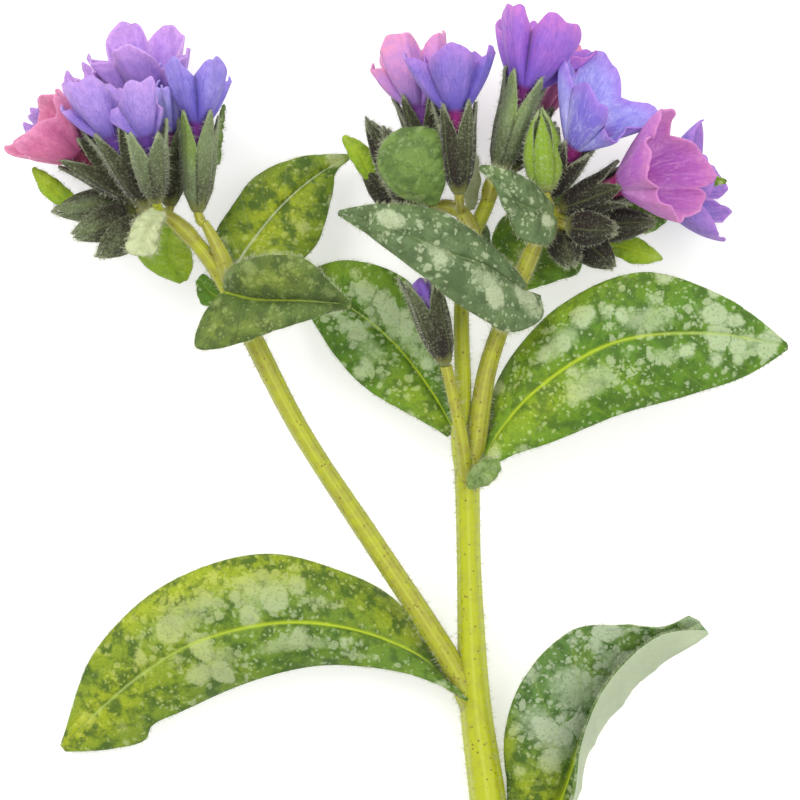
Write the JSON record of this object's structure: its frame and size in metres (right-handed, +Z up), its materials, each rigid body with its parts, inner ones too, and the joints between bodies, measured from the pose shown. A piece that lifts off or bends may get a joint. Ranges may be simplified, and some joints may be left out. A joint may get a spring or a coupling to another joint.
{
  "type": "lungwort sprig",
  "caption": "Cut flowering stem of a spotted lungwort lying on a surface: branched stalk, spotted leaves, heads of violet and pink funnel flowers.",
  "frame": {"origin": "middle of the part's box, on the surface that the sprig lies on", "axes": "+Y from the cut end of the stalk towards the flowers, +Z up from the surface, +X to the side of the large right leaf"},
  "size_m": [0.0952, 0.114, 0.0283],
  "materials": {
    "stem": "juicy ribbed stalk with white hairs and brown specks",
    "leaf": "green blade with pale silver spots and short hairs",
    "leaf_grey": "grey-green downy blade with pale spots",
    "calyx": "dark green-brown, bristly with white hairs",
    "petal_blue": "thin satin petal with fine veins, blue-violet",
    "petal_violet": "thin satin petal with fine veins, lavender",
    "petal_magenta": "thin satin petal with fine veins, magenta-violet",
    "petal_pink": "thin satin petal with fine veins, pink"
  },
  "bodies": {
    "root": {"stem": "stem", "leaf_lower_left": "leaf", "leaf_lower_right": "leaf", "leaf_right": "leaf", "leaf_middle_back": "leaf", "leaf_left_back": "leaf", "leaf_right_back": "leaf", "leaf_middle_small": "leaf", "leaf_upper_front": "leaf_grey", "leaf_left_front": "leaf_grey", "leaf_right_front": "leaf_grey", "bract_left_low": "leaf", "bract_left_pale": "leaf_grey", "bract_left_tip": "leaf", "bract_middle": "leaf_grey", "bract_middle_side": "leaf", "bract_right_tip": "leaf", "bract_right_under": "leaf", "bract_right_far": "leaf", "bract_right_base": "leaf_grey", "bract_middle_pale": "leaf_grey", "bract_left_thin": "leaf_grey", "leaf_left_small": "leaf", "bud_calyx": "calyx", "head_left": "calyx", "head_left_inner": "calyx", "head_middle": "calyx", "head_middle_top": "calyx", "head_right": "calyx", "bud_petals": "petal_violet", "flower_left_inner": "petal_blue", "flower_left_top": "petal_violet", "flower_left_shoulder": "petal_blue", "flower_left_front": "petal_violet", "flower_left_slim": "petal_violet", "flower_left_rear": "petal_violet", "flower_left_edge": "petal_blue", "flower_left_pink": "petal_pink", "flower_middle_left": "petal_pink", "flower_middle_blue": "petal_blue", "flower_middle_top": "petal_magenta", "flower_middle_rear": "petal_pink", "flower_right_blue": "petal_violet", "flower_right_pink": "petal_magenta", "flower_right_rear": "petal_blue"}
  },
  "joints": []
}
